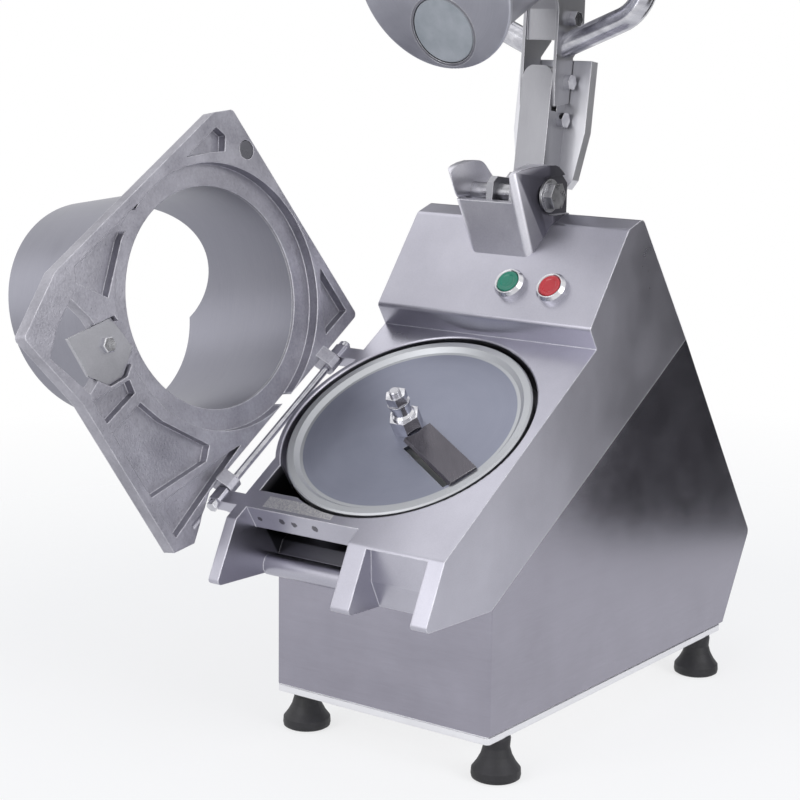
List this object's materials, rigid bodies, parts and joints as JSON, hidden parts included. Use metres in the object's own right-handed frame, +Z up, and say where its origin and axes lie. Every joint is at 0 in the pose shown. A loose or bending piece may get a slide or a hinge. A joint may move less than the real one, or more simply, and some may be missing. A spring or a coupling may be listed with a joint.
{
  "type": "vegetable cutting machine",
  "caption": "Bench machine that slices vegetables: sloping cast head over a sheet base, spinning disc, hinged feed hopper swung open and a raised pusher lever.",
  "frame": {"origin": "on the floor plane, under the centre of the front left foot", "axes": "+X to the operator's right, +Y from the operator to the back, +Z up"},
  "size_m": [0.492, 0.6945, 0.8335],
  "materials": {
    "lower_casing": "brushed stainless sheet",
    "base_tray": "brushed stainless sheet",
    "rubber_feet": "matt black rubber",
    "foot_studs": "plain steel",
    "cast_head": "satin cast",
    "saddle_bracket": "satin cast",
    "pivot_bolt": "plain steel",
    "hinge_rod": "polished rod",
    "button_bezels": "satin chrome",
    "switch_bodies": "moulded",
    "green_button": "gloss",
    "red_button": "gloss",
    "drive_plate": "painted",
    "plate_pillars": "plain steel",
    "shaft_bearings": "ground",
    "motor_body": "cast",
    "drive_belt": "matt",
    "driven_pulley": "turned",
    "motor_pulley": "turned",
    "motor_shaft": "ground",
    "drive_shaft": "turned",
    "ejector_plate": "moulded",
    "cutting_disc": "spun satin",
    "cutting_blade": "ground",
    "hub_nut": "bright",
    "hub_sleeve": "bright",
    "lock_nut": "bright",
    "cable_gland": "moulded",
    "hopper_plate": "satin cast",
    "hopper_tube": "rolled satin",
    "latch_bracket": "satin",
    "latch_screw": "bright",
    "safety_magnet": "ground",
    "lever_arm": "brushed",
    "lever_back_plate": "brushed",
    "lever_bracket": "brushed",
    "feed_tube": "brushed",
    "large_pusher": "satin",
    "small_pusher": "moulded",
    "lever_bolts": "bright",
    "handle_tube": "polished tube"
  },
  "bodies": {
    "machine": {"lower_casing": "lower_casing", "base_tray": "base_tray", "rubber_feet": "rubber_feet", "foot_studs": "foot_studs", "cast_head": "cast_head", "saddle_bracket": "saddle_bracket", "pivot_bolt": "pivot_bolt", "hinge_rod": "hinge_rod", "button_bezels": "button_bezels", "switch_bodies": "switch_bodies", "drive_plate": "drive_plate", "plate_pillars": "plate_pillars", "shaft_bearings": "shaft_bearings", "motor_body": "motor_body", "drive_belt": "drive_belt", "cable_gland": "cable_gland"},
    "disc": {"drive_shaft": "drive_shaft", "driven_pulley": "driven_pulley", "ejector_plate": "ejector_plate", "cutting_disc": "cutting_disc", "cutting_blade": "cutting_blade", "hub_nut": "hub_nut", "hub_sleeve": "hub_sleeve", "lock_nut": "lock_nut"},
    "motor_drive": {"motor_shaft": "motor_shaft", "motor_pulley": "motor_pulley"},
    "hopper": {"hopper_plate": "hopper_plate", "hopper_tube": "hopper_tube", "latch_bracket": "latch_bracket", "latch_screw": "latch_screw", "safety_magnet": "safety_magnet"},
    "lever": {"lever_arm": "lever_arm", "lever_back_plate": "lever_back_plate", "lever_bracket": "lever_bracket", "lever_bolts": "lever_bolts", "feed_tube": "feed_tube", "large_pusher": "large_pusher", "handle_tube": "handle_tube"},
    "small_pusher": {"small_pusher": "small_pusher"},
    "green_button": {"green_button": "green_button"},
    "red_button": {"red_button": "red_button"}
  },
  "joints": [
    {"name": "disc_spin", "type": "hinge", "parent": "machine", "child": "disc", "pos_m": [0.0918, 0.0237, 0.2905], "axis": [0, -0.5344, 0.8453], "continuous": true},
    {"name": "motor_spin", "type": "hinge", "parent": "machine", "child": "motor_drive", "pos_m": [0.0918, 0.1209, 0.35195], "axis": [0, -0.5344, 0.8453], "continuous": true},
    {"name": "hopper_hinge", "type": "hinge", "parent": "machine", "child": "hopper", "pos_m": [-0.0365, 0.02504, 0.28839], "axis": [0, 0.8453, 0.5344], "range_deg": [0, 101.67]},
    {"name": "lever_pivot", "type": "hinge", "parent": "machine", "child": "lever", "pos_m": [0.0918, 0.1776, 0.48175], "axis": [1, 0, 0], "range_deg": [0, 97.2]},
    {"name": "small_pusher_slide", "type": "slide", "parent": "lever", "child": "small_pusher", "axis": [0, 0.9056, 0.4242], "range_m": [0, 0.12]},
    {"name": "green_button_press", "type": "slide", "parent": "machine", "child": "green_button", "axis": [0, 0.7982, -0.6024], "range_m": [0, 0.0025], "stiffness_N_per_m": 400},
    {"name": "red_button_press", "type": "slide", "parent": "machine", "child": "red_button", "axis": [0, 0.7982, -0.6024], "range_m": [0, 0.0025], "stiffness_N_per_m": 400}
  ],
  "couplings": [
    {"joint": "motor_spin", "follows": "disc_spin", "ratio": 2.5}
  ]
}
